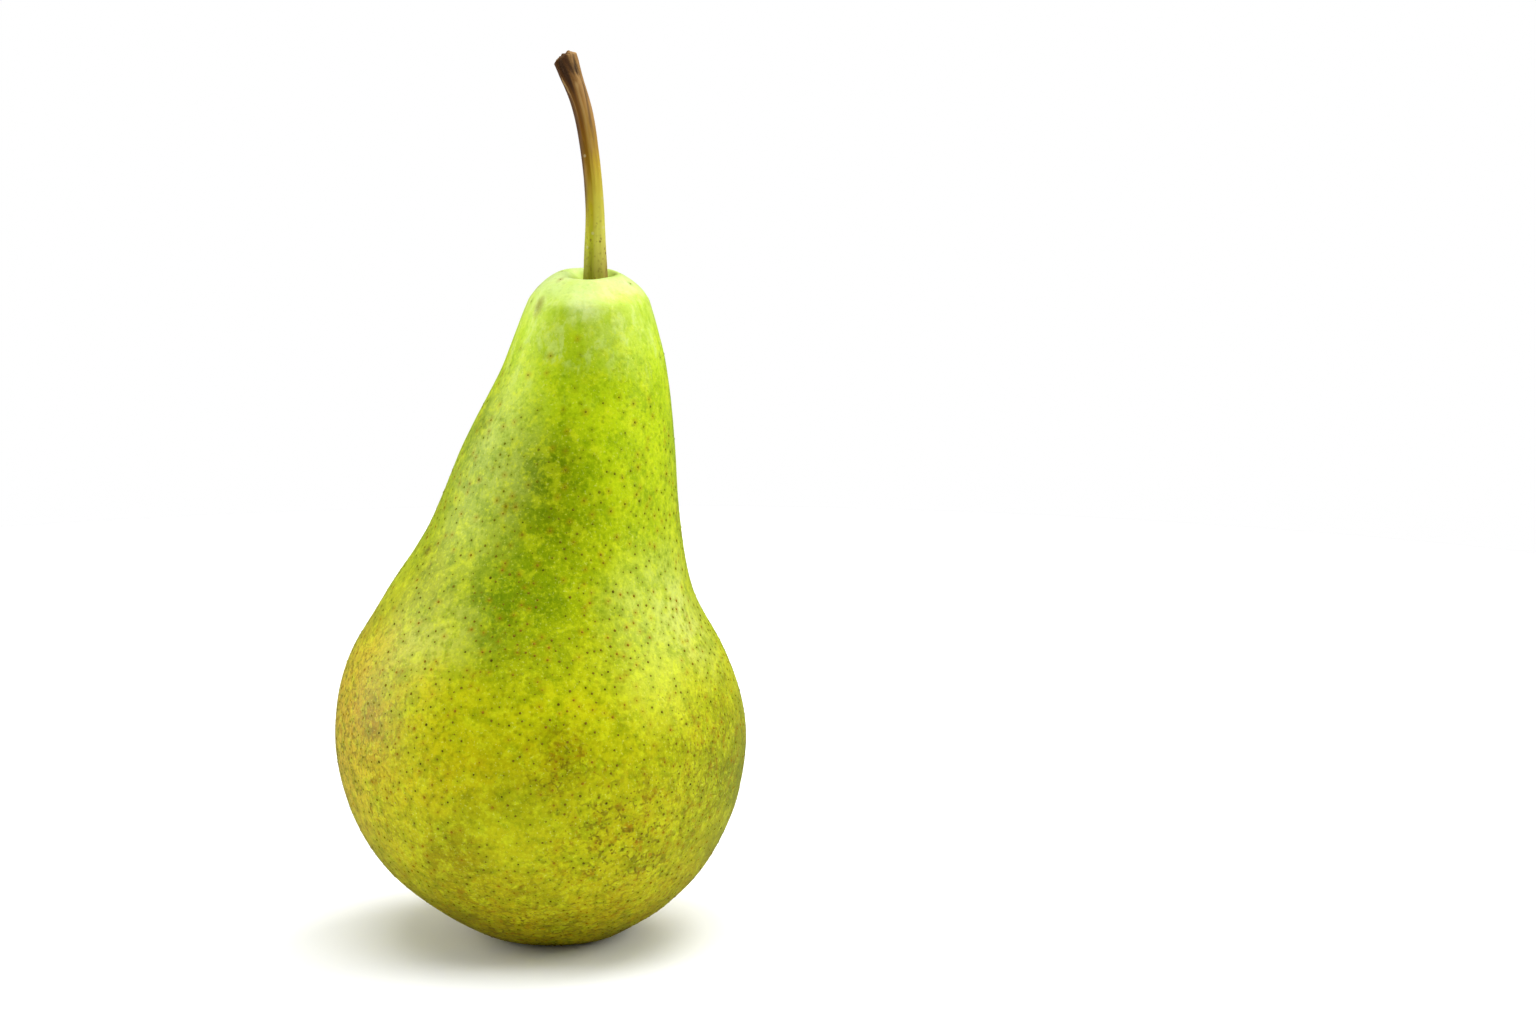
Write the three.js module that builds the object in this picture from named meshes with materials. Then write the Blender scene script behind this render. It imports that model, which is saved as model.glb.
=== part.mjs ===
// A long-necked pear as picked, standing upright on its base. The neck leans to one side, the stem
// rises from a shallow cavity in the top, and the dried calyx sits in a basin in the underside.
// Lengths are in millimetres and +Z is up. The origin lies on the surface that the pear stands on,
// in the middle of the fruit's outline seen from above.

import * as THREE from "three";

// Driving dimensions of the fruit
const BODY_HEIGHT = 107.4; // from the resting surface to the lip of the stem cavity
const BELLY_RADIUS = 33.4; // at the widest ring
const NECK_LEAN = 8.3; // how far the lip stands to one side of the belly
const LEAN_ANGLE = THREE.MathUtils.degToRad(8); // the way it leans, turned from +X towards +Y

// Driving dimensions of the stem
const STEM_RADIUS = 1.4; // at its slimmest
const STEM_CUT = THREE.MathUtils.degToRad(20); // how far its end slopes down towards -X
const STEM_CUT_REACH = 6; // how sharply the slope sets in towards the end, as a power

// Driving dimensions of the calyx
const SEPAL_COUNT = 5;
const SEPAL_LENGTH = 3.9;
const SEPAL_WIDTH = 2.6;
const SEPAL_THICKNESS = 0.4;
const SEPAL_DROOP = 1.6; // how far a sepal's tip hangs below its root
const SEPAL_TURN = THREE.MathUtils.degToRad(14); // of the first sepal, from +X towards +Y
const TUBE_RADIUS = 1.9; // outside of the calyx tube, which the sepals stand round
const TUBE_BORE_RADIUS = 1.3;
const TUBE_DEPTH = 1.2;
const TUBE_LIP = 0.2; // how far the rounding of its rim reaches
const STAMEN_COUNT = 10;
const STAMEN_RADIUS = 0.14;
const STAMEN_LENGTH = 1.8;
const STAMEN_RINGS = [0.45, 0.85]; // where the inner and the outer stamens stand

const GROWN_GAP = 0.3; // left between pieces that grow out of each other

// How finely round shapes are cut
const FRUIT_SECTORS = 48;
const FLANK_STEPS = 42;
const BASIN_STEPS = 8;
const STEM_SECTORS = 16;
const STEM_STEPS = 22;
const TUBE_SECTORS = 20;
const STAMEN_SECTORS = 6;

// The fruit's outline from the surface that it stands on to the floor of the stem cavity. Each
// station is [height, radius, lean], as shares of BODY_HEIGHT, BELLY_RADIUS and NECK_LEAN.
const FLANK = [
  [0.0, 0.284, 0.28], // outer edge of the flat ring that the pear rests on
  [0.013, 0.395, 0.22],
  [0.053, 0.6, 0.17],
  [0.115, 0.803, 0.08],
  [0.206, 0.952, 0.03],
  [0.312, 1.0, 0.0], // belly
  [0.419, 0.922, -0.05],
  [0.521, 0.747, 0.0], // where the belly draws in to the neck
  [0.623, 0.609, 0.3],
  [0.745, 0.51, 0.6],
  [0.857, 0.398, 0.89],
  [0.945, 0.304, 0.99],
  [0.9855, 0.233, 0.99],
  [1.0, 0.156, 1.0], // lip
  [0.993, 0.1, 1.08],
  [0.984, 0.078, 1.13],
  [0.981, 0.045, 1.13],
  [0.981, 0.0, 1.13], // floor of the stem cavity
];

// The calyx basin from its floor to the inner edge of the resting ring, in the same shares.
const CALYX_BASIN = [
  [0.036, 0.0, 0.28],
  [0.0355, 0.075, 0.28],
  [0.028, 0.14, 0.28],
  [0.01, 0.195, 0.28],
  [0.0, 0.225, 0.28],
];

// The stem's centre line above the cavity floor: [sideways, back, height] from the foot's centre.
const STEM_LINE = [
  [0, 0, 0],
  [0, 0.1, 6],
  [-0.05, 0.4, 13],
  [-0.75, 0.9, 21],
  [-2.1, 1.4, 28.5],
  [-4.45, 1.8, 35.3],
];

// The stem's radius from foot to tip, as shares of STEM_RADIUS at equal steps along the line.
const STEM_SWELL = [1.41, 1.24, 1.09, 1.03, 1.0, 1.03, 1.1, 1.22];

// How the stem's end is rounded: [share of the radius there, rise as a share of that radius].
const STEM_END = [
  [0.9, 0.06],
  [0.6, 0.14],
  [0, 0.18],
];

const MATERIALS = {
  skin: new THREE.MeshStandardMaterial({ color: 0xa9bd33, roughness: 0.42, metalness: 0 }),
  stem: new THREE.MeshStandardMaterial({ color: 0x8a6a2b, roughness: 0.65, metalness: 0 }),
  calyx: new THREE.MeshStandardMaterial({ color: 0x4a3a2c, roughness: 0.85, metalness: 0 }),
  stamen: new THREE.MeshStandardMaterial({ color: 0x8d7658, roughness: 0.9, metalness: 0 }),
};

/** Rings of the fruit along a smooth curve through stations: x is radius, y height and z lean. */
function ringsThrough(stations, steps) {
  const points = stations.map(
    ([height, radius, lean]) =>
      new THREE.Vector3(radius * BELLY_RADIUS, height * BODY_HEIGHT, lean * NECK_LEAN),
  );
  return new THREE.CatmullRomCurve3(points, false, "catmullrom").getPoints(steps);
}

/** The share of its ring's radius at which the skin stands, because no section is quite round. */
function outOfRound(angle, height) {
  const nearBase = Math.max(0, 1 - height / (0.42 * BODY_HEIGHT));
  const oval = 0.012 * Math.cos(2 * (angle - 1.2));
  const threeSided = 0.008 * Math.cos(3 * (angle - 0.5));
  const fiveLobed = 0.012 * nearBase * Math.cos(5 * (angle - 0.3));
  return 1 + oval + threeSided + fiveLobed;
}

/** Revolves an outline of [radius, height] points about Z. It runs upwards on the outside. */
function revolve(outline, sectors) {
  const points = outline.map(([radius, height]) => new THREE.Vector2(radius, height));
  return new THREE.LatheGeometry(points, sectors).rotateX(Math.PI / 2);
}

/** Moves every vertex of a geometry to where place(point, index) says. */
function reshape(geometry, place) {
  const position = geometry.getAttribute("position");
  const point = new THREE.Vector3();
  for (let index = 0; index < position.count; index += 1) {
    point.fromBufferAttribute(position, index);
    place(point, index);
    position.setXYZ(index, point.x, point.y, point.z);
  }
  return geometry;
}

/** The fruit: one solid, from the calyx basin round the flank to the stem cavity. */
function fruitGeometry() {
  const rings = [...ringsThrough(CALYX_BASIN, BASIN_STEPS), ...ringsThrough(FLANK, FLANK_STEPS)];
  const outline = rings.map((ring) => [ring.x, ring.y]);
  return reshape(revolve(outline, FRUIT_SECTORS), (point, index) => {
    const lean = rings[index % rings.length].z;
    const share = outOfRound(Math.atan2(point.y, point.x), point.z);
    point.x = point.x * share + lean * Math.cos(LEAN_ANGLE);
    point.y = point.y * share + lean * Math.sin(LEAN_ANGLE);
  });
}

/** The straight stem's outline: its foot on the axis, its side, and its rounded end. */
function stemOutline(length) {
  const stations = STEM_SWELL.map((share, step) => new THREE.Vector2(step, share));
  const side = new THREE.SplineCurve(stations)
    .getPoints(STEM_STEPS)
    .map(({ x, y }) => [y * STEM_RADIUS, (x / (stations.length - 1)) * length]);
  const [tipRadius] = side.at(-1);
  const end = STEM_END.map(([share, rise]) => [share * tipRadius, length + rise * tipRadius]);
  return [[0, 0], ...side, ...end];
}

/** The stem with its foot at the origin, cut aslant and then bent along its centre line. */
function stemGeometry() {
  const line = new THREE.CatmullRomCurve3(STEM_LINE.map((at) => new THREE.Vector3(...at)));
  const length = line.getLength();
  const up = new THREE.Vector3(0, 0, 1);
  return reshape(revolve(stemOutline(length), STEM_SECTORS), (point) => {
    const along = THREE.MathUtils.clamp(point.z / length, 0, 1);
    const beyond = point.z - along * length;
    const slope = point.x * Math.tan(STEM_CUT) * along ** STEM_CUT_REACH;
    const turn = new THREE.Quaternion().setFromUnitVectors(up, line.getTangentAt(along));
    point.setZ(beyond + slope).applyQuaternion(turn).add(line.getPointAt(along));
  });
}

/** The calyx tube: a short dried ring that hangs from the basin's floor at the origin. */
function calyxTubeGeometry() {
  const outline = [
    [TUBE_BORE_RADIUS, -TUBE_DEPTH + TUBE_LIP],
    [TUBE_BORE_RADIUS + TUBE_LIP, -TUBE_DEPTH],
    [TUBE_RADIUS - TUBE_LIP, -TUBE_DEPTH],
    [TUBE_RADIUS, -TUBE_DEPTH + TUBE_LIP],
    [TUBE_RADIUS, 0],
    [TUBE_BORE_RADIUS, 0],
    [TUBE_BORE_RADIUS, -TUBE_DEPTH + TUBE_LIP],
  ];
  return revolve(outline, TUBE_SECTORS);
}

/** One sepal: a pointed leaf along +X from its root at the origin, with its tip bent down. */
function sepalGeometry() {
  const half = SEPAL_WIDTH / 2;
  const [nearer, farther] = [0.3 * SEPAL_LENGTH, 0.6 * SEPAL_LENGTH];
  const leaf = new THREE.Shape();
  leaf.moveTo(0, -0.7 * half);
  leaf.bezierCurveTo(nearer, -half, farther, -0.5 * half, SEPAL_LENGTH, 0);
  leaf.bezierCurveTo(farther, 0.5 * half, nearer, half, 0, 0.7 * half);
  leaf.closePath();
  const blade = new THREE.ExtrudeGeometry(leaf, {
    depth: SEPAL_THICKNESS,
    bevelEnabled: false,
    curveSegments: 8,
  });
  return reshape(blade, (point) => {
    point.z -= SEPAL_DROOP * (point.x / SEPAL_LENGTH) ** 2;
  });
}

/** One dried stamen, hanging from its root at the origin to a slightly thicker end. */
function stamenGeometry() {
  const headRadius = 1.5 * STAMEN_RADIUS;
  const outline = [
    [0, -STAMEN_LENGTH],
    [headRadius, -0.92 * STAMEN_LENGTH],
    [headRadius, -0.8 * STAMEN_LENGTH],
    [STAMEN_RADIUS, -0.7 * STAMEN_LENGTH],
    [STAMEN_RADIUS, 0],
    [0, 0],
  ];
  return revolve(outline, STAMEN_SECTORS);
}

/** A named mesh, which is one node of the pear. */
function piece(name, geometry, material) {
  const mesh = new THREE.Mesh(geometry, material);
  mesh.name = name;
  return mesh;
}

/** Copies of one geometry in even turns about Z: each is numbered, and stands where place says. */
function ring(count, name, geometry, material, firstTurn, place) {
  const arms = Array.from({ length: count }, (_, index) => {
    const arm = new THREE.Group();
    arm.rotation.z = firstTurn + (index / count) * 2 * Math.PI;
    const mesh = piece(`${name}_${index + 1}`, geometry, material);
    mesh.position.copy(place(index));
    return arm.add(mesh);
  });
  return new THREE.Group().add(...arms);
}

/** The calyx under the basin's floor at the origin: its tube, with sepals round it and stamens in it. */
function calyx() {
  const tube = piece("calyx_tube", calyxTubeGeometry(), MATERIALS.calyx);
  tube.position.z = -GROWN_GAP;

  const sepalRoot = new THREE.Vector3(TUBE_RADIUS + GROWN_GAP, 0, -TUBE_DEPTH);
  const sepals = ring(
    SEPAL_COUNT,
    "sepal",
    sepalGeometry(),
    MATERIALS.calyx,
    SEPAL_TURN,
    () => sepalRoot,
  );
  const stamens = ring(
    STAMEN_COUNT,
    "stamen",
    stamenGeometry(),
    MATERIALS.stamen,
    0,
    (index) => new THREE.Vector3(STAMEN_RINGS[index % 2], 0, -GROWN_GAP),
  );
  return new THREE.Group().add(tube, sepals, stamens);
}

/** Where the middle of the fruit's ring at a station stands. */
function middleAt([height, , lean]) {
  const reach = lean * NECK_LEAN;
  return new THREE.Vector3(
    reach * Math.cos(LEAN_ANGLE),
    reach * Math.sin(LEAN_ANGLE),
    height * BODY_HEIGHT,
  );
}

/** The whole pear, with the middle of the fruit's outline seen from above at the origin. */
function pear() {
  const fruit = piece("fruit", fruitGeometry(), MATERIALS.skin);
  const stem = piece("stem", stemGeometry(), MATERIALS.stem);
  stem.position.copy(middleAt(FLANK.at(-1)));
  stem.position.z += GROWN_GAP;
  const underside = calyx();
  underside.position.copy(middleAt(CALYX_BASIN[0]));

  const group = new THREE.Group().add(fruit, stem, underside);
  const outline = new THREE.Box3().setFromObject(fruit);
  const middle = outline.getCenter(new THREE.Vector3());
  group.position.set(-middle.x, -middle.y, 0);
  return group;
}

export default pear();
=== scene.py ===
"""A long-necked pear standing upright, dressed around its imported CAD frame.

The frame gives every size and place. Each class below builds one sub-assembly of the pear as
finished meshes in metres: the skin, the dots on it, the stem and the dried calyx underneath.
"""

import logging
import math
from dataclasses import dataclass
from enum import Enum

import bpy
import numpy as np
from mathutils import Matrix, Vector


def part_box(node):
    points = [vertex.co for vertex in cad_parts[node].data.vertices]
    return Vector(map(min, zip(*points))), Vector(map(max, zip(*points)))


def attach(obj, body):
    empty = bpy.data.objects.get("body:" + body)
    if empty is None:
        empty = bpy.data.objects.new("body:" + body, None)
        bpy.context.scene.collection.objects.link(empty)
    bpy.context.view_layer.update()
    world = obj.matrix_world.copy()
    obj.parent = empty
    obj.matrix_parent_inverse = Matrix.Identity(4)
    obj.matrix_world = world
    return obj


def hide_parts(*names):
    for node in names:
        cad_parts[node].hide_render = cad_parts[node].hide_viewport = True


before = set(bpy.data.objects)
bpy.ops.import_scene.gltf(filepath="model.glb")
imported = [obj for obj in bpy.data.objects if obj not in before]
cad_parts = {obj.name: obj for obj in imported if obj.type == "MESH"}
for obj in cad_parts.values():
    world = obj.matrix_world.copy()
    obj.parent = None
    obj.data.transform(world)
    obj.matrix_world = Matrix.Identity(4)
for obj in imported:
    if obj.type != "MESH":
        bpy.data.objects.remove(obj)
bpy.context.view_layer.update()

LOG = logging.getLogger("pear")
MM = 0.001


# ---------------------------------------------------------------------------------------------
# Small tools: colours, fields in node trees, and meshes
# ---------------------------------------------------------------------------------------------


def paint(code: str) -> tuple[float, float, float, float]:
    """Turns a colour code into linear light.

    Args:
        code: Six hexadecimal digits, such as "A9BD33".

    Returns:
        Red, green, blue and alpha.
    """
    shares = [int(code[at : at + 2], 16) / 255 for at in (0, 2, 4)]
    red, green, blue = (
        share / 12.92 if share <= 0.04045 else ((share + 0.055) / 1.055) ** 2.4
        for share in shares
    )
    return red, green, blue, 1.0


class Lay(Enum):
    """How one colour is laid over another."""

    COVER = "MIX"
    DARKEN = "MULTIPLY"


class Net(Enum):
    """What is measured in a network of cells: the distance to a cell's point or to its edge."""

    POINTS = "F1"
    EDGES = "DISTANCE_TO_EDGE"


class Field:
    """An output socket of a node tree that formulas can be written with."""

    def __init__(self, graph: "Graph", socket: bpy.types.NodeSocket) -> None:
        """Wraps a socket of the graph's tree."""
        self.graph = graph
        self.socket = socket

    def __add__(self, other: "Feed") -> "Field":
        """The sum with a number or a field."""
        return self.graph.math("ADD", self, other)

    def __radd__(self, other: "Feed") -> "Field":
        """The sum with a number on the left."""
        return self.graph.math("ADD", other, self)

    def __sub__(self, other: "Feed") -> "Field":
        """What is left after taking other away."""
        return self.graph.math("SUBTRACT", self, other)

    def __rsub__(self, other: "Feed") -> "Field":
        """A number less this field."""
        return self.graph.math("SUBTRACT", other, self)

    def __mul__(self, other: "Feed") -> "Field":
        """The product with a number or a field."""
        return self.graph.math("MULTIPLY", self, other)

    def __rmul__(self, other: "Feed") -> "Field":
        """The product with a number on the left."""
        return self.graph.math("MULTIPLY", other, self)

    def __truediv__(self, other: "Feed") -> "Field":
        """This field divided by other."""
        return self.graph.math("DIVIDE", self, other)

    def __pow__(self, other: "Feed") -> "Field":
        """This field raised to a power."""
        return self.graph.math("POWER", self, other)

    def cos(self) -> "Field":
        """The cosine of this angle."""
        return self.graph.math("COSINE", self)

    def sin(self) -> "Field":
        """The sine of this angle."""
        return self.graph.math("SINE", self)

    def clamped(self) -> "Field":
        """This field kept between 0 and 1."""
        return self.graph.math("MULTIPLY", self, 1.0, clamp=True)


Feed = float | int | bool | str | tuple | Field | bpy.types.NodeSocket


class Graph:
    """One node tree in the making. Each method adds nodes and returns what they give."""

    COLUMN, ROW, PER_ROW = 190, 260, 14

    def __init__(self, tree: bpy.types.NodeTree) -> None:
        """Starts writing into a tree."""
        self.tree = tree

    @staticmethod
    def find(sockets: bpy.types.bpy_prop_collection, key: str | int) -> bpy.types.NodeSocket:
        """Finds a socket by its place, its identifier or its name.

        Args:
            sockets: A node's inputs or outputs.
            key: Which one.

        Returns:
            The socket.
        """
        if isinstance(key, int):
            return sockets[key]
        exact = [socket for socket in sockets if socket.identifier == key]
        return exact[0] if exact else sockets[key]

    def feed(self, socket: bpy.types.NodeSocket, value: Feed) -> None:
        """Links a field to an input socket, or sets the socket to a plain value.

        Args:
            socket: The input socket.
            value: What goes into it.
        """
        if isinstance(value, Field):
            value = value.socket
        if isinstance(value, bpy.types.NodeSocket):
            self.tree.links.new(value, socket)
        else:
            socket.default_value = value

    def add(
        self, kind: str, feeds: dict[str | int, Feed] | None = None, **settings: object
    ) -> bpy.types.Node:
        """Adds one node.

        Args:
            kind: The node's type name.
            feeds: What goes into its inputs, by socket name, identifier or place.
            settings: Its own properties.

        Returns:
            The new node.
        """
        node = self.tree.nodes.new(kind)
        row, column = divmod(len(self.tree.nodes), self.PER_ROW)
        node.location = (column * self.COLUMN, -row * self.ROW)
        for name, value in settings.items():
            setattr(node, name, value)
        for key, value in (feeds or {}).items():
            self.feed(self.find(node.inputs, key), value)
        return node

    def take(self, kind: str, output: str | int, feeds: dict | None = None, **settings) -> Field:
        """Adds one node and returns one of its outputs."""
        return Field(self, self.find(self.add(kind, feeds, **settings).outputs, output))

    def math(self, operation: str, *values: Feed, clamp: bool = False) -> Field:
        """Works out one number from others."""
        feeds = dict(enumerate(values))
        return self.take("ShaderNodeMath", 0, feeds, operation=operation, use_clamp=clamp)

    def vector(self, operation: str, *values: Feed, output: str = "Vector") -> Field:
        """Works out one vector, or one number, from vectors.

        Args:
            operation: What is done.
            values: What it is done to.
            output: "Value" for one number.

        Returns:
            The result.
        """
        feeds: dict[str | int, Feed] = dict(enumerate(values))
        if operation == "SCALE":
            feeds = {0: values[0], "Scale": values[1]}
        return self.take("ShaderNodeVectorMath", output, feeds, operation=operation)

    def length(self, vector: Feed) -> Field:
        """The length of a vector."""
        return self.vector("LENGTH", vector, output="Value")

    def join(self, x: Feed, y: Feed, z: Feed) -> Field:
        """Makes a vector of three numbers."""
        return self.take("ShaderNodeCombineXYZ", 0, {0: x, 1: y, 2: z})

    def polar(self, radius: Field, angle: Field, height: Feed) -> Field:
        """Makes a vector of a radius, an angle round +Z and a height."""
        return self.join(radius * angle.cos(), radius * angle.sin(), height)

    def split(self, vector: Feed) -> tuple[Field, Field, Field]:
        """Takes a vector apart.

        Args:
            vector: The vector.

        Returns:
            Its x, y and z.
        """
        node = self.add("ShaderNodeSeparateXYZ", {0: vector})
        x, y, z = (Field(self, socket) for socket in node.outputs)
        return x, y, z

    def noise(
        self,
        place: Feed,
        size: float,
        detail: float = 2.0,
        roughness: float = 0.5,
        distortion: float = 0.0,
        output: int = 0,
    ) -> Field:
        """Smooth noise from 0 to 1, with swells about as wide as size.

        Args:
            place: Where it is read.
            size: The width of its largest swells, in metres.
            detail: How many finer layers are added.
            roughness: How strong those are.
            distortion: How far it is smeared.
            output: 0 for one number, 1 for three in a colour.

        Returns:
            The noise there.
        """
        feeds = {
            "Vector": place,
            "Scale": 1 / size,
            "Detail": detail,
            "Roughness": roughness,
            "Distortion": distortion,
        }
        return self.take("ShaderNodeTexNoise", output, feeds)

    def cells(self, place: Feed, size: float, net: Net = Net.POINTS) -> Field:
        """A network of cells about as wide as size: the distance is in cell widths."""
        feeds = {"Vector": place, "Scale": 1 / size}
        return self.take("ShaderNodeTexVoronoi", 0, feeds, feature=net.value)

    def shake(self, place: Feed, size: float, reach: float, detail: float = 3.0) -> Field:
        """A shift that wanders up to reach each way, over swells about as wide as size.

        Args:
            place: Where it is read.
            size: The width of its swells.
            reach: How far it goes.
            detail: How many finer layers are added.

        Returns:
            The shift there.
        """
        shift = self.noise(place, size, detail, roughness=0.6, output=1)
        shift = self.vector("SUBTRACT", shift, (0.5, 0.5, 0.5))
        return self.vector("SCALE", shift, 2 * reach)

    def ruffle(self, place: Feed, size: float, reach: float) -> Field:
        """Shakes places, so that what is laid there gets ragged edges."""
        return self.vector("ADD", place, self.shake(place, size, reach))

    def ramp(self, value: Feed, low: Feed, high: Feed) -> Field:
        """Rises smoothly from 0 to 1 as value goes from low to high."""
        feeds = {"Value": value, "From Min": low, "From Max": high}
        return self.take("ShaderNodeMapRange", 0, feeds, interpolation_type="SMOOTHSTEP")

    def fade(self, value: Feed, low: Feed, high: Feed) -> Field:
        """Falls smoothly from 1 to 0 as value goes from low to high."""
        feeds = {"Value": value, "From Min": low, "From Max": high, "To Min": 1.0, "To Max": 0.0}
        return self.take("ShaderNodeMapRange", 0, feeds, interpolation_type="SMOOTHSTEP")

    def blend(self, share: Feed, under: Feed, over: Feed, how: Lay = Lay.COVER) -> Field:
        """Lays one colour or colour code over another by a share from 0 to 1.

        Args:
            share: How much of the upper one shows.
            under: The lower one.
            over: The upper one.
            how: The way it is laid.

        Returns:
            The mixed colour.
        """
        under, over = (paint(tone) if isinstance(tone, str) else tone for tone in (under, over))
        feeds = {"Factor_Float": share, "A_Color": under, "B_Color": over}
        node = self.add("ShaderNodeMix", feeds, data_type="RGBA", blend_type=how.value)
        return Field(self, self.find(node.outputs, "Result_Color"))

    def gradient(self, value: Feed, stops: tuple[tuple[float, str], ...]) -> Field:
        """A colour that changes with value through the stops, each a place and a colour code.

        Args:
            value: What it changes with, from 0 to 1.
            stops: Each a place and a colour code.

        Returns:
            The colour there.
        """
        node = self.add("ShaderNodeValToRGB", {0: value})
        elements = node.color_ramp.elements
        while len(elements) < len(stops):
            elements.new(1.0)
        for element, (place, code) in zip(elements, stops):
            element.position = place
            element.color = paint(code)
        return Field(self, node.outputs[0])


class FormGraph(Graph):
    """A Geometry Nodes tree with named inputs, which turns one mesh into a finished piece."""

    KINDS = {
        "geometry": "NodeSocketGeometry",
        "float": "NodeSocketFloat",
        "int": "NodeSocketInt",
        "object": "NodeSocketObject",
        "material": "NodeSocketMaterial",
    }

    def __init__(self, name: str, **inputs: str) -> None:
        """Starts a tree that takes a geometry, a material and the inputs.

        Args:
            name: The tree's name.
            inputs: For each kind, as a key of KINDS, the names of the inputs of that kind.
        """
        super().__init__(bpy.data.node_groups.new(name, "GeometryNodeTree"))
        for kind, labels in {"geometry": "geometry", "material": "material", **inputs}.items():
            for label in labels.split():
                self.tree.interface.new_socket(label, in_out="INPUT", socket_type=self.KINDS[kind])
        self.tree.interface.new_socket(
            "geometry", in_out="OUTPUT", socket_type=self.KINDS["geometry"]
        )
        self.inputs = self.add("NodeGroupInput")
        self.outputs = self.add("NodeGroupOutput")

    def given(self, label: str) -> Field:
        """The tree's input of that name."""
        return Field(self, self.inputs.outputs[label])

    def place(self) -> Field:
        """Where each point is."""
        return self.take("GeometryNodeInputPosition", 0)

    def normal(self) -> Field:
        """Which way each point faces."""
        return self.take("GeometryNodeInputNormal", 0)

    def random(self, low: float, high: float, seed: int) -> Field:
        """A number between low and high for each point or instance."""
        feeds = {"Min_001": low, "Max_001": high, "Seed": seed}
        return self.take("FunctionNodeRandomValue", "Value_001", feeds, data_type="FLOAT")

    def store(self, geometry: Field, name: str, value: Field, kind: str = "FLOAT") -> Field:
        """Keeps a value on the points under a name, for a material to read.

        Args:
            geometry: What is marked.
            name: The attribute's name.
            value: What is kept.
            kind: Its type.

        Returns:
            The marked geometry.
        """
        feeds = {"Geometry": geometry, "Name": name, "Value": value}
        settings = {"data_type": kind, "domain": "POINT"}
        return self.take("GeometryNodeStoreNamedAttribute", 0, feeds, **settings)

    def moved(self, geometry: Field, offset: Field) -> Field:
        """Moves each point by an offset."""
        feeds = {"Geometry": geometry, "Offset": offset}
        return self.take("GeometryNodeSetPosition", 0, feeds)

    def placed(self, geometry: Field, place: Field) -> Field:
        """Puts each point at a place."""
        feeds = {"Geometry": geometry, "Position": place}
        return self.take("GeometryNodeSetPosition", 0, feeds)

    def merged(self, geometry: Field, gap: float = 0.002 * MM) -> Field:
        """Joins points that are no further apart than a gap."""
        feeds = {"Geometry": geometry, "Distance": gap}
        return self.take("GeometryNodeMergeByDistance", 0, feeds)

    def content(self, label: str) -> Field:
        """The geometry of the object that is the tree's input of that name."""
        return self.take("GeometryNodeObjectInfo", "Geometry", {"Object": self.given(label)})

    def sheet(self, columns: Feed, rows: Feed) -> tuple[Field, Field, Field]:
        """A grid to be bent into a surface.

        Args:
            columns: How many faces it has one way.
            rows: How many the other way.

        Returns:
            The grid, and each point's shares of the way across it and up it, from 0 to 1.
        """
        feeds = {"Vertices X": self.math("ADD", columns, 1), "Vertices Y": self.math("ADD", rows, 1)}
        grid = self.take("GeometryNodeMeshGrid", 0, {**feeds, "Size X": 1.0, "Size Y": 1.0})
        across, up, _ = self.split(self.place())
        return grid, across + 0.5, up + 0.5

    def swept(self, columns: Feed, rows: Feed, turn: float = math.tau) -> tuple[Field, ...]:
        """A grid to be bent round, with the outline that is the tree's geometry for its side.

        Args:
            columns: How many faces it has round.
            rows: How many along the outline.
            turn: The angle of the whole way round.

        Returns:
            The grid, the outline's three numbers at each point, and the point's angle.
        """
        grid, across, up = self.sheet(columns, rows)
        line = self.as_line(self.given("geometry"))
        return grid, *self.split(self.along(line, up)), across * turn

    def copies(self, points: Feed, one: Field, rotation: Feed, scale: Feed) -> Field:
        """Puts a turned and scaled copy of a mesh on each point."""
        feeds = {"Points": points, "Instance": one, "Rotation": rotation, "Scale": scale}
        return self.take("GeometryNodeInstanceOnPoints", 0, feeds)

    def turned(self, x: Feed, y: Feed, z: Feed) -> Field:
        """Makes a rotation of three angles."""
        return self.take("FunctionNodeEulerToRotation", 0, {0: self.join(x, y, z)})

    def along(self, line: Field, share: Field, output: str = "Position") -> Field:
        """What a line holds a share of the way along it: its position or its tangent.

        Args:
            line: The line.
            share: How far along it.
            output: "Position" or "Tangent".

        Returns:
            What it holds there.
        """
        feeds = {"Curves": line, "Factor": share}
        node = self.add("GeometryNodeSampleCurve", feeds, mode="FACTOR", use_all_curves=False)
        return Field(self, node.outputs[output])

    def as_line(self, geometry: Field) -> Field:
        """Turns a chain of edges into a line that can be measured along."""
        return self.take("GeometryNodeMeshToCurve", 0, {"Mesh": geometry})

    def finish(self, geometry: Field) -> None:
        """Realizes instances, shades smooth, sets the material and ends the tree.

        Args:
            geometry: What the tree gives.
        """
        real = self.take("GeometryNodeRealizeInstances", 0, {"Geometry": geometry})
        shaded = self.take("GeometryNodeSetShadeSmooth", 0, {"Geometry": real})
        feeds = {"Geometry": shaded, "Material": self.given("material")}
        self.feed(self.outputs.inputs[0], self.take("GeometryNodeSetMaterial", 0, feeds))


def chain(name: str, points: np.ndarray) -> bpy.types.Object:
    """Makes a chain of edges through points, for a tree to follow.

    Args:
        name: Its name.
        points: One in each row.

    Returns:
        The object that holds it.
    """
    mesh = bpy.data.meshes.new(name)
    links = [(at, at + 1) for at in range(len(points) - 1)]
    mesh.from_pydata([tuple(point) for point in points], links, [])
    base = bpy.data.objects.new(name, mesh)
    bpy.context.scene.collection.objects.link(base)
    return base


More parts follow.
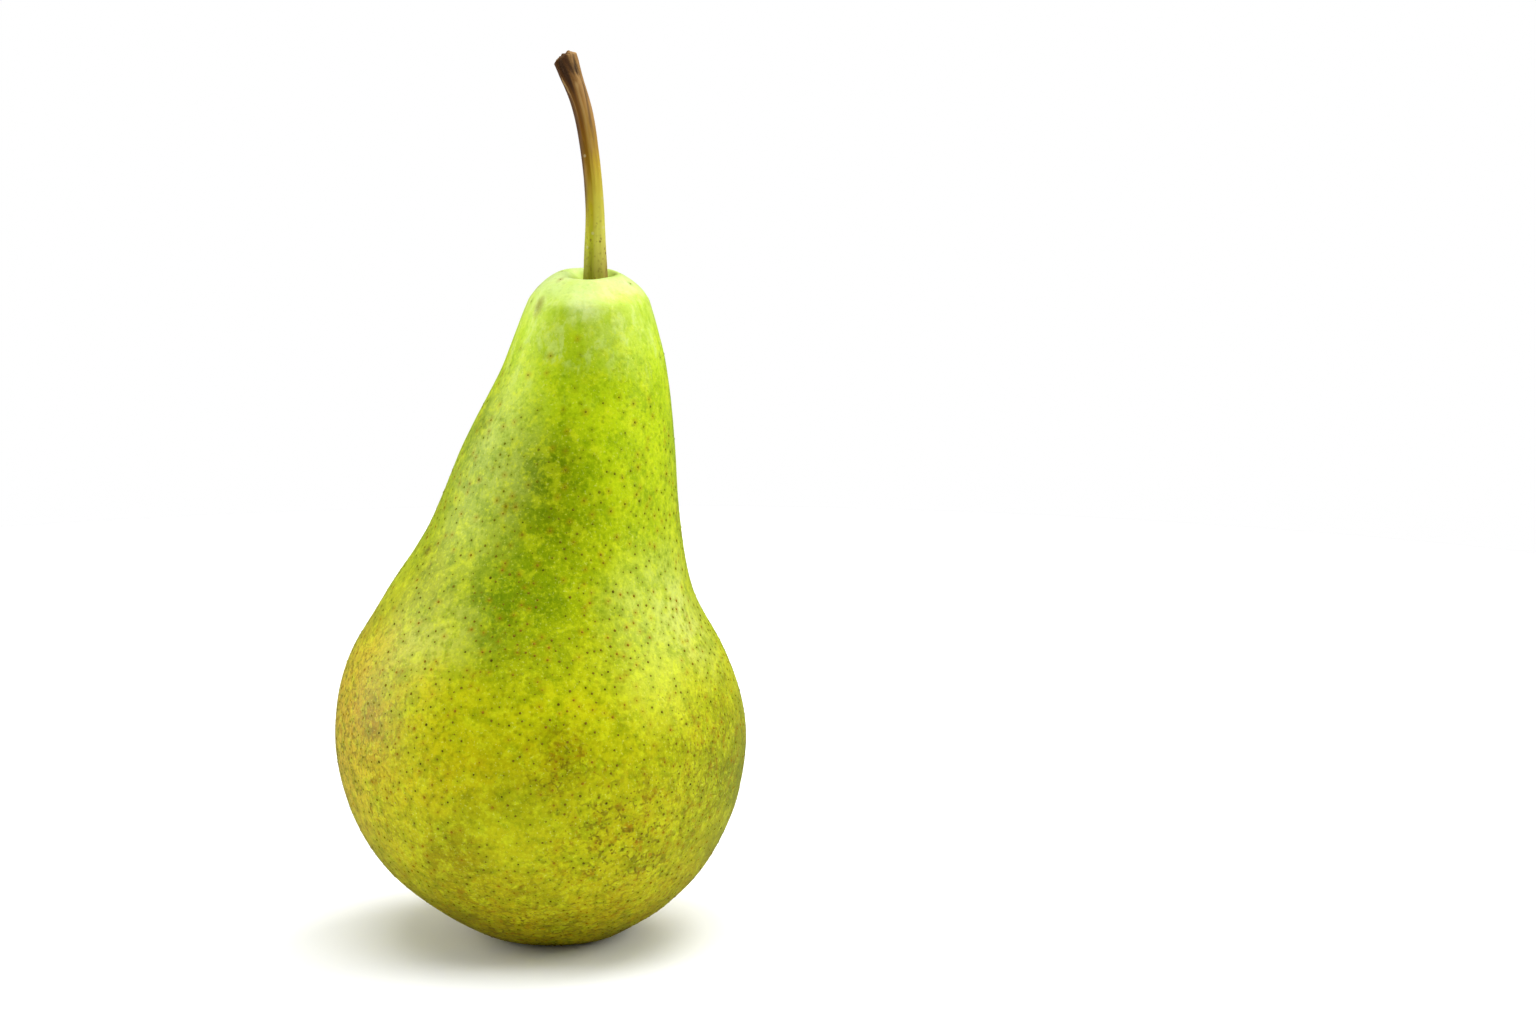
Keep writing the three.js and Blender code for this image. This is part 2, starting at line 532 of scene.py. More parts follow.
def grow(
    name: str, base: bpy.types.Object, form: FormGraph, owner: object, **values: object
) -> bpy.types.Object:
    """Runs a tree on a base object and keeps what it makes as a plain mesh.

    Args:
        name: The finished piece's name.
        base: The object that the tree starts from. It is removed.
        form: The tree.
        owner: The sub-assembly, whose sizes set the tree's inputs of the same names.
        values: What the tree's other inputs are set to.

    Returns:
        The piece, with its object at the origin.
    """
    modifier = base.modifiers.new(name, "NODES")
    modifier.node_group = form.tree
    for item in form.tree.interface.items_tree:
        if item.in_out == "INPUT" and item.name != "geometry":
            own = getattr(owner, item.name, None)
            modifier[item.identifier] = values.get(item.name, own)
    graph = bpy.context.evaluated_depsgraph_get()
    mesh = bpy.data.meshes.new_from_object(base.evaluated_get(graph), depsgraph=graph)
    mesh.name = name
    for slot in reversed([at for at, found in enumerate(mesh.materials) if found is None]):
        mesh.materials.pop(index=slot)
    discard(base)
    piece = bpy.data.objects.new(name, mesh)
    bpy.context.scene.collection.objects.link(piece)
    return piece


def discard(thing: bpy.types.Object) -> None:
    """Removes a helper object and its mesh.

    Args:
        thing: The object.
    """
    mesh = thing.data
    bpy.data.objects.remove(thing)
    bpy.data.meshes.remove(mesh)


def smooth_line(stations: np.ndarray, steps: int) -> np.ndarray:
    """Draws a smooth line through stations, with the same even steps between each two.

    Args:
        stations: The points that it passes through, one in each row.
        steps: How many steps it takes from each station to the next.

    Returns:
        The points of the line, from the first station to the last.
    """
    ends = np.vstack([2 * stations[0] - stations[1], stations, 2 * stations[-1] - stations[-2]])
    share = np.arange((len(stations) - 1) * steps + 1) / steps
    span = np.minimum(share.astype(int), len(stations) - 2)
    t = (share - span)[:, None]
    a, b, c, d = (ends[span + offset] for offset in range(4))
    cubic = (3 * b - 3 * c + d - a) * t**3
    return 0.5 * (2 * b + (c - a) * t + (2 * a - 5 * b + 4 * c - d) * t**2 + cubic)


# ---------------------------------------------------------------------------------------------
# The shape of the fruit
# ---------------------------------------------------------------------------------------------


@dataclass(frozen=True)
class PearForm:
    """The rule of the fruit's shape, scaled and placed to fill the frame's fruit.

    Stations are [height, radius, lean], as shares of the body's height, the belly's radius and
    the neck's lean.
    """

    low: Vector
    high: Vector
    lean_share: float = 0.2485  # the neck's lean, as a share of the belly's radius
    lean_turn: float = math.radians(8)
    oval: float = 0.012
    three_sided: float = 0.008
    five_lobed: float = 0.012
    lobed_height: float = 0.42
    lip_tilt: tuple[float, float] = (-0.012, 0.09)  # how the lip rises towards +X and towards +Y
    lip_folds: float = 0.035
    flank: tuple = (
        (0.0, 0.284, 0.28),
        (0.013, 0.395, 0.22),
        (0.053, 0.6, 0.17),
        (0.115, 0.803, 0.08),
        (0.206, 0.952, 0.03),
        (0.312, 1.0, 0.0),
        (0.419, 0.922, -0.05),
        (0.521, 0.747, 0.0),
        (0.623, 0.609, 0.3),
        (0.745, 0.51, 0.6),
        (0.857, 0.398, 0.89),
        (0.945, 0.307, 0.985),
        (0.967, 0.277, 0.99),
        (0.9855, 0.224, 0.98),
        (1.0, 0.142, 1.0),
        (0.993, 0.1, 1.08),
        (0.984, 0.078, 1.13),
        (0.981, 0.045, 1.13),
        (0.981, 0.0, 1.13),
    )
    basin: tuple = (
        (0.036, 0.0, 0.28),
        (0.0355, 0.075, 0.28),
        (0.028, 0.14, 0.28),
        (0.01, 0.195, 0.28),
        (0.0, 0.225, 0.28),
    )

    @property
    def height(self) -> float:
        """From the resting surface to the lip of the stem cavity."""
        return self.high.z - self.low.z

    @property
    def belly(self) -> float:
        """The belly's radius, at which the shape is as wide as the frame's fruit."""
        return (self.high.x - self.low.x) / np.ptp(self.spread(1.0)[..., 0])

    @property
    def middle(self) -> Vector:
        """Where the belly's middle stands, seen from above.

        Returns:
            The point.
        """
        flat = self.spread(self.belly).reshape(-1, 3)
        centre = (flat.min(0) + flat.max(0)) / 2
        lean = (self.low + self.high) / 2
        return Vector((lean.x - centre[0], lean.y - centre[1], 0))

    def outline(self, belly: float, steps: int = 12) -> np.ndarray:
        """Points [radius, lean, height] from the basin's floor to the stem cavity's.

        Args:
            belly: The belly's radius.
            steps: How many steps it takes between stations.

        Returns:
            The points, one in each row.
        """
        scale = np.array([belly, belly * self.lean_share, self.height])
        parts = [
            smooth_line(np.array(stations)[:, [1, 2, 0]] * scale, steps)
            for stations in (self.basin, self.flank)
        ]
        return np.vstack(parts)

    def share(self, angle: np.ndarray, rise: np.ndarray) -> np.ndarray:
        """How far out the skin stands at an angle and a rise, as a share of its ring's radius.

        Args:
            angle: The angle round the axis.
            rise: The share of the body's height.

        Returns:
            The share of the radius, near 1.
        """
        low = np.clip(1 - rise / self.lobed_height, 0, 1)
        oval = self.oval * np.cos(2 * (angle - 1.2))
        three = self.three_sided * np.cos(3 * (angle - 0.5))
        return 1 + oval + three + self.five_lobed * low * np.cos(5 * (angle - 0.3))

    def spread(self, belly: float) -> np.ndarray:
        """The surface as rings of points, round an axis that stands on the belly's middle.

        Args:
            belly: The belly's radius.

        Returns:
            The points, by ring and by angle.
        """
        radius, lean, height = self.outline(belly, 4).T[:, :, None]
        angle = np.linspace(0, math.tau, 72, endpoint=False)[None, :]
        out = radius * self.share(angle, height / self.height)
        x = out * np.cos(angle) + lean * math.cos(self.lean_turn)
        y = out * np.sin(angle) + lean * math.sin(self.lean_turn)
        return np.stack([x, y, height + 0 * x], -1)

    def on_skin(self, bearing: float, rise: float) -> Vector:
        """The point of the flank at a bearing and a rise.

        Args:
            bearing: Degrees round from +X towards +Y, so the front is at -90.
            rise: Height, as a share of the body's.

        Returns:
            The point, in the row frame.
        """
        lip = self.flank.index(max(self.flank)) + 1
        stations = smooth_line(np.array(self.flank[:lip]), 12)
        radius = np.interp(rise, stations[:, 0], stations[:, 1]) * self.belly
        lean = np.interp(rise, stations[:, 0], stations[:, 2]) * self.belly * self.lean_share
        angle = math.radians(bearing)
        out = radius * float(self.share(np.array(angle), np.array(rise)))
        x = out * math.cos(angle) + lean * math.cos(self.lean_turn)
        y = out * math.sin(angle) + lean * math.sin(self.lean_turn)
        return Vector((x, y, rise * self.height)) + self.middle

    def on_axis(self, station: tuple[float, float, float]) -> Vector:
        """The middle of the ring at a station.

        Args:
            station: One of the flank or the basin.

        Returns:
            The point, in the row frame.
        """
        rise, _, lean = station
        reach = lean * self.belly * self.lean_share
        turned = Vector((math.cos(self.lean_turn), math.sin(self.lean_turn), 0))
        return self.middle + turned * reach + Vector((0, 0, rise * self.height))


# ---------------------------------------------------------------------------------------------
# Finishes
# ---------------------------------------------------------------------------------------------


class Surface(Graph):
    """A material in the making: a colour that more is laid over, on a surface shader."""

    def __init__(self, name: str) -> None:
        """Makes a material of that name.

        Args:
            name: The material's name.
        """
        self.material = bpy.data.materials.new(name)
        self.material.use_nodes = True
        super().__init__(self.material.node_tree)
        self.shader = self.tree.nodes["Principled BSDF"]
        self.colour: Feed = (1.0, 1.0, 1.0, 1.0)

    def where(self) -> Field:
        """Where each point is, in the piece's own frame."""
        return self.take("ShaderNodeTexCoord", "Object")

    def mark(self, name: str, output: str = "Fac") -> Field:
        """What the piece's form has stored on it under a name."""
        return self.take("ShaderNodeAttribute", output, attribute_name=name)

    def lay(self, share: Feed, over: Feed, how: Lay = Lay.COVER) -> None:
        """Lays another colour or colour code over the colour by a share from 0 to 1."""
        self.colour = self.blend(share, self.colour, over, how)

    def emboss(self, height: Field, strength: float, depth: float) -> None:
        """Breaks up the surface's gloss by a height from 0 to 1."""
        feeds = {"Height": height, "Strength": strength, "Distance": depth}
        self.feed(self.shader.inputs["Normal"], self.take("ShaderNodeBump", 0, feeds))

    def finish(self, roughness: float, specular: float, sheen: tuple = (1, 1, 1, 1)) -> bpy.types.Material:
        """Gives the colour to the shader and sets its gloss.

        Args:
            roughness: How dull the gloss is.
            specular: How strong it is.
            sheen: Its tint.

        Returns:
            The finished material.
        """
        self.feed(self.shader.inputs["Base Color"], self.colour)
        self.shader.inputs["Roughness"].default_value = roughness
        self.shader.inputs["Specular IOR Level"].default_value = specular
        self.shader.inputs["Specular Tint"].default_value = sheen
        return self.material


@dataclass(frozen=True)
class Patch:
    """A soft-edged area of the skin.

    Its reach is in metres. A stretch above 1 makes it taller than it is wide.
    """

    bearing: float
    rise: float
    reach: float
    share: float
    code: str = "FFFFFF"
    stretch: float = 1.0

    def mask(self, graph: Graph, place: Field, form: PearForm) -> Field:
        """Works out how much of the patch there is at each place.

        Args:
            graph: The material's graph.
            place: Where the skin is read, with its edges already ruffled.
            form: The shape that the patch lies on.

        Returns:
            The patch's share there, full in its middle and fading to nothing at its reach.
        """
        centre = form.on_skin(self.bearing, self.rise)
        away = graph.vector("SUBTRACT", place, tuple(centre))
        away = graph.vector("MULTIPLY", away, (1.0, 1.0, 1 / self.stretch))
        return graph.fade(graph.length(away), 0.1 * self.reach, self.reach) * self.share


@dataclass(frozen=True)
class Reading:
    """Where the skin is read: the place, its share of the fruit's height, and how worn it is."""

    place: Field
    rise: Field
    wear: Field


@dataclass(frozen=True)
class SkinFinish:
    """Waxy skin: a green ground with soft patches, some of them painted highlights, mottling, freckles,
    netting, dot halos and painted shade in the calyx basin.
    """

    ground: tuple[tuple[float, str], ...] = (
        (0.0, "A8980A"),
        (0.07, "B2A40A"),
        (0.14, "B2AA08"),
        (0.22, "BAB80A"),
        (0.32, "B4B408"),
        (0.4, "BEC00C"),
        (0.47, "B2BA0A"),
        (0.56, "ACBA0A"),
        (0.66, "ACBE0A"),
        (0.76, "ACC60C"),
        (0.85, "B2CC12"),
        (0.92, "BEDA34"),
        (0.97, "C4DE62"),
        (1.0, "CAE08C"),
    )
    # Colour zones of the skin. The pale whitish ones are painted highlights and a painted reflection,
    # marked below.
    tints_and_highlights: tuple[Patch, ...] = (
        Patch(-96, 0.7, 0.013, 0.95, "7A9000", 1.5),
        Patch(-100, 0.56, 0.013, 0.9, "728E00", 1.2),
        Patch(-74, 0.56, 0.01, 0.55, "88A000"),
        Patch(-84, 0.5, 0.01, 0.4, "92A400"),
        # painted highlight on the crown's front
        Patch(-62, 0.93, 0.01, 0.4, "D2E484"),
        Patch(-106, 0.9, 0.01, 0.75, "A2BC0A"),
        Patch(-44, 0.93, 0.005, 0.5, "A8C404", 2.2),
        # painted highlight at the front of the lip
        Patch(-92, 0.965, 0.005, 0.5, "E4F0B0"),
        Patch(-150, 0.72, 0.018, 0.5, "8E9C06", 1.6),
        # painted highlight: the broad sheen on the neck's left
        Patch(-134, 0.74, 0.013, 0.28, "D0DA8A", 2.4),
        # painted highlight: a milky sheen on the belly's left
        Patch(-128, 0.5, 0.014, 0.25, "D2D88E"),
        # painted highlight on the belly's right
        Patch(-40, 0.53, 0.013, 0.28, "DAE490"),
        Patch(-157, 0.78, 0.005, 0.6, "6E8400", 2.2),
        Patch(-40, 0.7, 0.018, 0.5, "B8CC06", 1.8),
        Patch(-160, 0.35, 0.028, 0.85, "D0AC2C"),
        # painted reflection along the right edge
        Patch(-20, 0.5, 0.011, 0.4, "DCE48C", 1.6),
        Patch(-128, 0.29, 0.017, 0.5, "D8C810"),
        Patch(-115, 0.18, 0.009, 0.65, "8C7C00"),
        Patch(-84, 0.39, 0.009, 0.6, "D6D60C"),
        Patch(-138, 0.36, 0.009, 0.6, "965200"),
        Patch(-140, 0.56, 0.012, 0.6, "949600"),
        Patch(-122, 0.4, 0.012, 0.6, "D8CC0A"),
        Patch(-104, 0.31, 0.011, 0.6, "BEB000"),
        # partly a painted highlight on the belly's right
        Patch(-50, 0.44, 0.012, 0.35, "BECC44"),
        Patch(-84, 0.33, 0.007, 0.45, "9C8E00"),
        Patch(-62, 0.21, 0.01, 0.35, "AC9C00"),
        Patch(-14, 0.27, 0.02, 0.7, "7E8600"),
        Patch(-124, 0.08, 0.013, 0.4, "7E7000"),
        Patch(-76, 0.19, 0.01, 0.4, "C0C206"),
        Patch(-90, 0.0, 0.016, 0.6, "C8B80A"),
        Patch(20, 0.5, 0.022, 0.5, "B6C010"),
        Patch(75, 0.36, 0.026, 0.6, "BEB40E"),
        Patch(120, 0.66, 0.018, 0.6, "94AC06", 1.5),
        Patch(140, 0.22, 0.02, 0.6, "AA9206"),
    )
    russets: tuple[Patch, ...] = (
        Patch(-160, 0.32, 0.036, 0.8),
        Patch(-62, 0.2, 0.02, 0.9),
        Patch(-82, 0.32, 0.009, 0.8),
        Patch(-30, 0.3, 0.022, 0.7),
        Patch(40, 0.25, 0.026, 0.7),
        Patch(110, 0.4, 0.02, 0.6),
    )
    scars: tuple[Patch, ...] = (
        Patch(-141, 0.957, 0.0016, 0.75, "7E7424", 2.6),
        Patch(-154, 0.6, 0.0016, 0.8, "6C5C00"),
        Patch(-146, 0.585, 0.0012, 0.7, "6C5C00"),
        Patch(-83, 0.262, 0.0008, 0.95, "3A4010"),
    )
    pale: str = "D2DC1C"
    deep: str = "B4C82A"
    russet: str = "A07204"
    fleck: str = "6C5200"
    net: str = "64500A"
    spot: str = "708A00"
    olive: str = "857E00"
    grit: str = "E0E470"
    # pale waxy bloom on the crown, partly a painted highlight
    waxy: str = "DEEC9E"
    fresh: str = "A2C400"
    cavity: str = "AEC83C"
    # painted shadow: the dark core of the calyx basin
    darkening: str = "3C3A0C"
    # painted shade: the greenish edge round the calyx basin
    basin_shade: str = "8E9A0C"
    green_ring: str = "7A8A02"
    rust_ring: str = "9A7E04"
    roughness: float = 0.36
    specular: float = 0.3
    sheen: tuple[float, float, float, float] = (0.85, 1.0, 0.15, 1.0)

    def material(self, form: PearForm) -> bpy.types.Material:
        """Builds the skin's material.

        Args:
            form: The shape that it lies on.

        Returns:
            The material.
        """
        skin = Surface("pear_skin")
        place = skin.where()
        ruffled = skin.ruffle(place, 9 * MM, 4.5 * MM)
        ruffled = skin.ruffle(ruffled, 1.7 * MM, 1.3 * MM)
        rise = skin.split(ruffled)[2] / form.height
        skin.colour = skin.gradient(rise, self.ground)
        frayed = skin.ruffle(place, 1.5 * MM, 0.8 * MM)
        for patches, spot in ((self.tints_and_highlights, ruffled), (self.scars, frayed)):
            for patch in patches:
                skin.lay(patch.mask(skin, spot, form), patch.code)
        wear = skin.fade(rise, 0.0, 0.24)
        for patch in self.russets:
            wear = skin.math("MAXIMUM", wear, patch.mask(skin, ruffled, form))
        at = Reading(place, rise, wear)
        for layer in (self.bloom, self.mottle, self.freckle, self.netting):
            layer(skin, at)
        self.halo(skin)
        self.hollows(skin, place, form)
        skin.emboss(skin.noise(place, 0.8 * MM, detail=3.0, roughness=0.65), 0.6, 0.14 * MM)
        return skin.finish(self.roughness, self.specular, self.sheen)

    def bloom(self, skin: Surface, at: Reading) -> None:
        """Streaks the crown with a paler waxy bloom, partly a painted highlight, and deeper green.

        Args:
            skin: The material in the making.
            at: Where it is read.
        """
        long = skin.vector("MULTIPLY", at.place, (1.0, 1.0, 0.45))
        streaks = skin.noise(long, 2.6 * MM, detail=5.0, roughness=0.65, distortion=0.4)
        crown = skin.ramp(at.rise, 0.8, 0.93)
        # paler streaks on the crown: waxy bloom, partly a painted highlight
        skin.lay(skin.ramp(streaks, 0.5, 0.62) * crown * 0.3, self.waxy)
        fresh = skin.fade(streaks, 0.36, 0.48) * crown * skin.fade(at.rise, 0.95, 0.985)
        skin.lay(fresh * 0.55, self.fresh)

    def mottle(self, skin: Surface, at: Reading) -> None:
        """Lays paler and deeper blotches of several sizes.

        Args:
            skin: The material in the making.
            at: Where it is read.
        """
        calm = skin.fade(at.rise, 0.82, 1.0) * 0.7 + 0.3
        clouds = skin.ramp(skin.noise(at.place, 8 * MM, detail=3.0), 0.45, 0.65)
        skin.lay(clouds * calm * 0.35, self.deep, Lay.DARKEN)
        blotch = skin.noise(at.place, 2.6 * MM, detail=5.0, roughness=0.65, distortion=0.3)
        skin.lay(skin.ramp(blotch, 0.5, 0.62) * calm * 0.4, self.pale)
        darkening = skin.noise(at.place, 3.4 * MM, detail=6.0, roughness=0.68, distortion=0.3)
        skin.lay(skin.ramp(darkening, 0.51, 0.62) * calm * 0.5, self.deep, Lay.DARKEN)
        crumbs = skin.noise(at.place, 0.62 * MM, detail=3.0, roughness=0.7)
        skin.lay(skin.ramp(crumbs, 0.52, 0.68) * calm * 0.45, self.pale)
        skin.lay(skin.fade(crumbs, 0.32, 0.48) * calm * 0.5, self.deep, Lay.DARKEN)
        grit = skin.noise(at.place, 0.42 * MM, detail=2.0, roughness=0.7)
        skin.lay(skin.ramp(grit, 0.6, 0.72) * 0.38, self.grit)

    def freckle(self, skin: Surface, at: Reading) -> None:
        """Adds soft green spots, and fine russet flecks that are thickest where it is worn.

        Args:
            skin: The material in the making.
            at: Where it is read.
        """
        warped = skin.ruffle(at.place, 0.6 * MM, 0.22 * MM)
        crowd = skin.ramp(skin.noise(at.place, 6 * MM, detail=3.0), 0.35, 0.6)
        spots = skin.fade(skin.cells(warped, 1.15 * MM), 0.12, 0.4)
        spot = skin.blend(skin.ramp(at.rise, 0.4, 0.6), self.olive, self.spot)
        sparse = skin.fade(at.rise, 0.8, 0.95) * 0.75 + 0.25
        skin.lay(spots * (crowd * 0.45 + 0.1) * sparse, spot)
        width = at.wear * 0.24 + 0.1
        cell = skin.cells(skin.vector("ADD", warped, (0.013, 0.007, 0.003)), 0.85 * MM)
        flecks = skin.fade(cell, width * 0.6, width + 0.03)
        patchy = skin.ramp(skin.noise(at.place, 3.2 * MM, detail=3.0), 0.42, 0.56)
        skin.lay(flecks * (patchy * 0.7 + 0.3) * (at.wear * 0.5 + 0.42) * sparse, self.fleck)
        crust = skin.noise(at.place, 1.7 * MM, detail=6.0, roughness=0.75)
        crust = skin.ramp(crust, 0.53, 0.62)
        skin.lay(crust * at.wear * (patchy * 0.75 + 0.25), self.russet)

    def netting(self, skin: Surface, at: Reading) -> None:
        """Adds a broken net of thin dark lines where the skin is worn.

        Args:
            skin: The material in the making.
            at: Where it is read.
        """
        warped = skin.ruffle(at.place, 1.3 * MM, 0.55 * MM)
        line = skin.fade(skin.cells(warped, 1.6 * MM, Net.EDGES), 0.02, 0.15)
        broken = skin.ramp(skin.noise(at.place, 1.3 * MM, detail=3.0), 0.45, 0.6)
        skin.lay(line * broken * at.wear * 0.85, self.net)

    def halo(self, skin: Surface) -> None:
        """Deepens the colour round each dot, to green or to rust as the dot's tone says.

        Args:
            skin: The material in the making.
        """
        halo = skin.mark("halo")
        ring = skin.blend(skin.ramp(skin.mark("tone"), 0.6, 0.8), self.green_ring, self.rust_ring)
        skin.lay(halo * 0.5, ring)

    def hollows(self, skin: Surface, place: Field, form: PearForm) -> None:
        """Paints shade into the calyx basin, a dark core with a ragged greenish edge, and gives the stem
        cavity a deeper green.

        Args:
            skin: The material in the making.
            place: Where it is read.
            form: The shape that it lies on.
        """
        away = skin.vector("SUBTRACT", place, tuple(form.on_axis(form.basin[0])))
        distance = skin.length(skin.ruffle(away, 2.6 * MM, 1.6 * MM))
        # painted shade round the calyx basin, with a ragged greenish edge
        skin.lay(skin.fade(distance, 4.2 * MM, 8.6 * MM) * 0.6, self.basin_shade)
        # painted shadow: the dark core of the calyx basin
        core = skin.fade(distance, 2.2 * MM, 6.0 * MM)
        broken = skin.ramp(skin.noise(place, 0.8 * MM, detail=3.0), 0.3, 0.6) * 0.5 + 0.5
        skin.lay(core * broken * 0.85, self.darkening)
        away = skin.vector("SUBTRACT", place, tuple(form.on_axis(form.flank[-1])))
        skin.lay(skin.fade(skin.length(away), 3.2 * MM, 5.2 * MM) * 0.7, self.cavity)


@dataclass(frozen=True)
class DotFinish:
    """Corky dots, dark, olive or rusty brown by their tone, and greener near the top."""

    dark: str = "443C00"
    olive: str = "74620A"
    rusty: str = "967410"
    green: str = "667A00"
    crust: str = "96801A"

    def material(self, height: float) -> bpy.types.Material:
        """Builds the dots' material.

        Args:
            height: The fruit's height.

        Returns:
            The material.
        """
        dots = Surface("pear_dots")
        tone = dots.mark("tone")
        dots.colour = dots.blend(dots.ramp(tone, 0.05, 0.16), self.dark, self.olive)
        dots.lay(dots.ramp(tone, 0.6, 0.8), self.rusty)
        place = dots.where()
        dots.lay(dots.ramp(dots.split(place)[2] / height, 0.5, 0.75) * 0.75, self.green)
        dots.lay(dots.ramp(dots.noise(place, 0.12 * MM), 0.4, 0.7) * 0.4, self.crust)
        return dots.finish(roughness=0.85, specular=0.08)


@dataclass(frozen=True)
class StemFinish:
    """Dried stem: green at its foot, golden in the middle and dark brown at its fibrous end, with painted
    light on its right and painted shade on its left.
    """

    shaded: tuple[tuple[float, str], ...] = (
        (0.0, "7A761C"),
        (0.06, "8C8A20"),
        (0.2, "AEB024"),
        (0.36, "A8960E"),
        (0.5, "8A6606"),
        (0.68, "744810"),
        (0.85, "6A421C"),
        (1.0, "4E301C"),
    )
    sunlit: tuple[tuple[float, str], ...] = (
        (0.0, "958438"),
        (0.07, "AAA244"),
        (0.22, "C4C24A"),
        (0.4, "C0B43C"),
        (0.52, "B2962A"),
        (0.6, "A27E30"),
        (0.8, "8E6430"),
        (1.0, "5E3C26"),
    )
    # darker left edge, partly painted shade
    flank: str = "4E2C18"
    # lighter right edge higher up, partly a painted highlight
    rim: str = "AC8450"
    crest: str = "C8A468"
    groove: str = "38201A"
    speck: str = "5E4214"
    crust: str = "CFC79A"

    rust: str = "8A5638"
    sheen: tuple[float, float, float, float] = (1.0, 0.9, 0.3, 1.0)

    def material(self, length: float) -> bpy.types.Material:
        """Builds the stem's material.

        Args:
            length: The stem's length.

        Returns:
            The material.
        """
        stem = Surface("pear_stem")
        straight = stem.mark("straight", "Vector")
        groove = stem.mark("groove")
        x, y, z = stem.split(straight)
        along = z / length
        fibres = stem.noise(stem.join(x, y, z * 0.07), 0.45 * MM, detail=3.0, roughness=0.6)
        patchy = stem.noise(stem.join(x, y, z * 0.35), 1.6 * MM, detail=3.0, roughness=0.6)
        place = along + (fibres - 0.5) * 0.16 + (patchy - 0.5) * 0.1
        side = x + (fibres - 0.5) * 0.5 * MM - y * 0.15
        # Painted light: the shaded colours on the left and the sunlit ones on the right, partly the stem's
        # own paler facet there.
        stem.colour = stem.gradient(place, self.shaded)
        stem.lay(stem.ramp(side, -0.1 * MM, 0.35 * MM), stem.gradient(place, self.sunlit))
        # The left edge is darker, partly painted shade; the right edge higher up is lighter, partly a
        # painted highlight.
        edge = stem.fade(side, -1.3 * MM, -0.4 * MM) * stem.ramp(along, 0.22, 0.45)
        stem.lay(edge * 0.85, self.flank)
        rim = stem.ramp(side, 0.6 * MM, 1.2 * MM) * stem.ramp(along, 0.62, 0.78)
        stem.lay(rim * 0.6, self.rim)
        self.weather(stem, straight, along)
        worn = stem.ramp(along, 0.5, 0.9)
        stem.lay(stem.ramp(groove, 0.55, 0.66) * (worn * 0.35 + 0.12), self.crest)
        stem.lay(stem.fade(groove, 0.34, 0.47) * (worn * 0.8 + 0.12), self.groove)
        stem.emboss(fibres + groove * 0.6, 0.7, 0.22 * MM)
        return stem.finish(roughness=0.5, specular=0.25, sheen=self.sheen)

    def weather(self, stem: Surface, straight: Field, along: Field) -> None:
        """Adds brown specks near the foot, rust on its right and a few crusty pale specks.

        Args:
            stem: The material in the making.
            straight: Where it is read, on the stem made straight.
            along: The share of the way up.
        """
        warped = stem.ruffle(straight, 0.5 * MM, 0.25 * MM)
        dots = stem.fade(stem.cells(warped, 0.75 * MM), 0.16, 0.38)
        where = stem.ramp(stem.noise(straight, 2.2 * MM, detail=2.0), 0.5, 0.62)
        stem.lay(dots * (where * 0.7 + 0.3) * stem.fade(along, 0.12, 0.42), self.speck)
        side = stem.split(straight)[0]
        rust = stem.ramp(side, 1.2 * MM, 2.0 * MM) * stem.fade(along, 0.0, 0.2)
        stem.lay(rust * 0.75, self.rust)
        stem.lay(stem.fade(stem.cells(straight, 2.4 * MM), 0.07, 0.13) * 0.35, self.crust)


@dataclass(frozen=True)
class DriedFinish:
    """Dried, crumpled plant tissue: dark, with a pinker tone in places and pale, crusty ridges."""

    name: str
    dark: str
    middle: str
    pink: str
    pale: str
    pale_share: float
    size: float = 0.9 * MM

    def material(self) -> bpy.types.Material:
        """Builds the material.

        Returns:
            The material.
        """
        husk = Surface(self.name)
        place = husk.where()
        tone = husk.noise(place, self.size, detail=4.0, roughness=0.65, distortion=0.5)
        husk.colour = husk.blend(husk.ramp(tone, 0.35, 0.6), self.dark, self.middle)
        husk.lay(husk.ramp(husk.noise(place, 2.1 * MM, detail=2.0), 0.52, 0.62) * 0.4, self.pink)
        crust = husk.noise(place, 0.5 * MM, detail=5.0, roughness=0.7)
        patches = husk.ramp(husk.noise(place, 1.7 * MM, detail=1.0), 0.45, 0.6)
        crust = husk.ramp(crust, 0.5, 0.66) * (patches * 0.7 + 0.3)
        husk.lay(crust * self.pale_share, self.pale)
        husk.lay(husk.mark("mark") * 0.85, self.pale)
        husk.emboss(tone + crust * 0.5, 0.8, 0.25 * MM)
        return husk.finish(roughness=0.8, specular=0.25)


# ---------------------------------------------------------------------------------------------
# Sub-assemblies
# ---------------------------------------------------------------------------------------------


